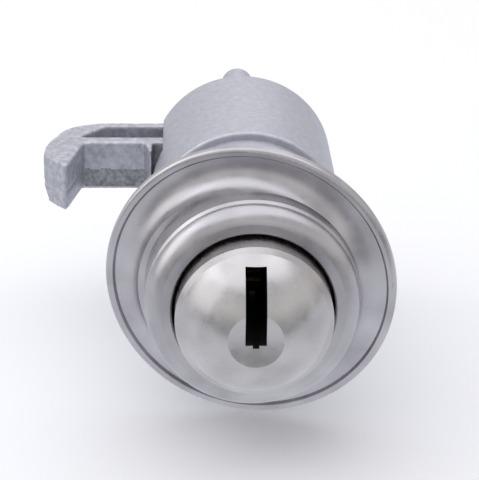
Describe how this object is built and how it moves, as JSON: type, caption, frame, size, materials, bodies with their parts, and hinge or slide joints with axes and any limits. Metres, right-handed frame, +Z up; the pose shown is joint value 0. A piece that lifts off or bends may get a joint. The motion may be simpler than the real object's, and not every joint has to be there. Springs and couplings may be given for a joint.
{
  "type": "glove box lock",
  "caption": "Push-button glove box lock: a domed keyed button in a leaning chrome bezel, a round die-cast body and a side hook that swings down when the button is pushed.",
  "frame": {"origin": "on the lock's axis, at the front end of the neck that goes through the panel", "axes": "+Y along the lock's axis from the face to the rear, +Z up, +X to the right of someone facing the button; the hook reaches to -X"},
  "size_m": [0.042, 0.063, 0.0335],
  "materials": {
    "chrome_plate": "polished plate, slightly worn",
    "plug_chrome": "polished plate",
    "zinc_body": "satin zinc die casting",
    "zinc_hook": "rough zinc die casting",
    "cover_steel": "plain pressed steel",
    "spring_steel": "drawn spring wire",
    "steel_pin": "turned steel",
    "wafer_brass": "stamped brass",
    "sleeve_brass": "turned brass"
  },
  "bodies": {
    "case": {"bezel": "chrome_plate", "bezel_dowel": "steel_pin", "housing": "zinc_body", "rear_cover": "cover_steel", "cover_ring": "spring_steel", "return_spring": "spring_steel", "hook_spring": "spring_steel"},
    "carrier": {"push_sleeve": "sleeve_brass", "guide_pin": "steel_pin", "cam_stem": "steel_pin", "stem_pin": "steel_pin"},
    "plug": {"key_plug": "plug_chrome", "lock_cam": "cover_steel", "plug_clip": "spring_steel", "wafer_spring_1": "spring_steel", "wafer_spring_2": "spring_steel", "wafer_spring_3": "spring_steel", "wafer_spring_4": "spring_steel"},
    "hook": {"hook": "zinc_hook", "drive_pin": "steel_pin"},
    "wafer_1": {"wafer_1": "wafer_brass"},
    "wafer_2": {"wafer_2": "wafer_brass"},
    "wafer_3": {"wafer_3": "wafer_brass"},
    "wafer_4": {"wafer_4": "wafer_brass"}
  },
  "joints": [
    {"name": "button_push", "type": "slide", "parent": "case", "child": "carrier", "axis": [0, 1, 0], "range_m": [0, 0.003], "stiffness_N_per_m": 900, "springref_m": -0.006, "deforming": ["return_spring"]},
    {"name": "key_turn", "type": "hinge", "parent": "carrier", "child": "plug", "pos_m": [0, 0, 0], "axis": [0, -1, 0], "range_deg": [-90, 0]},
    {"name": "hook_swing", "type": "hinge", "parent": "case", "child": "hook", "pos_m": [0, 0.0316, 0], "axis": [0, -1, 0], "range_deg": [0, 36], "stiffness_Nm_per_rad": 0.02, "springref_deg": -28.65, "deforming": ["hook_spring"]},
    {"name": "wafer_1_lift", "type": "slide", "parent": "plug", "child": "wafer_1", "axis": [0, 0, 1], "range_m": [0, 0.0007], "deforming": ["wafer_spring_1"]},
    {"name": "wafer_2_lift", "type": "slide", "parent": "plug", "child": "wafer_2", "axis": [0, 0, 1], "range_m": [0, 0.0007], "deforming": ["wafer_spring_2"]},
    {"name": "wafer_3_lift", "type": "slide", "parent": "plug", "child": "wafer_3", "axis": [0, 0, 1], "range_m": [0, 0.0007], "deforming": ["wafer_spring_3"]},
    {"name": "wafer_4_lift", "type": "slide", "parent": "plug", "child": "wafer_4", "axis": [0, 0, 1], "range_m": [0, 0.0007], "deforming": ["wafer_spring_4"]}
  ],
  "couplings": [
    {"joint": "hook_swing", "follows": "button_push", "rad_per_m": 209.44}
  ]
}
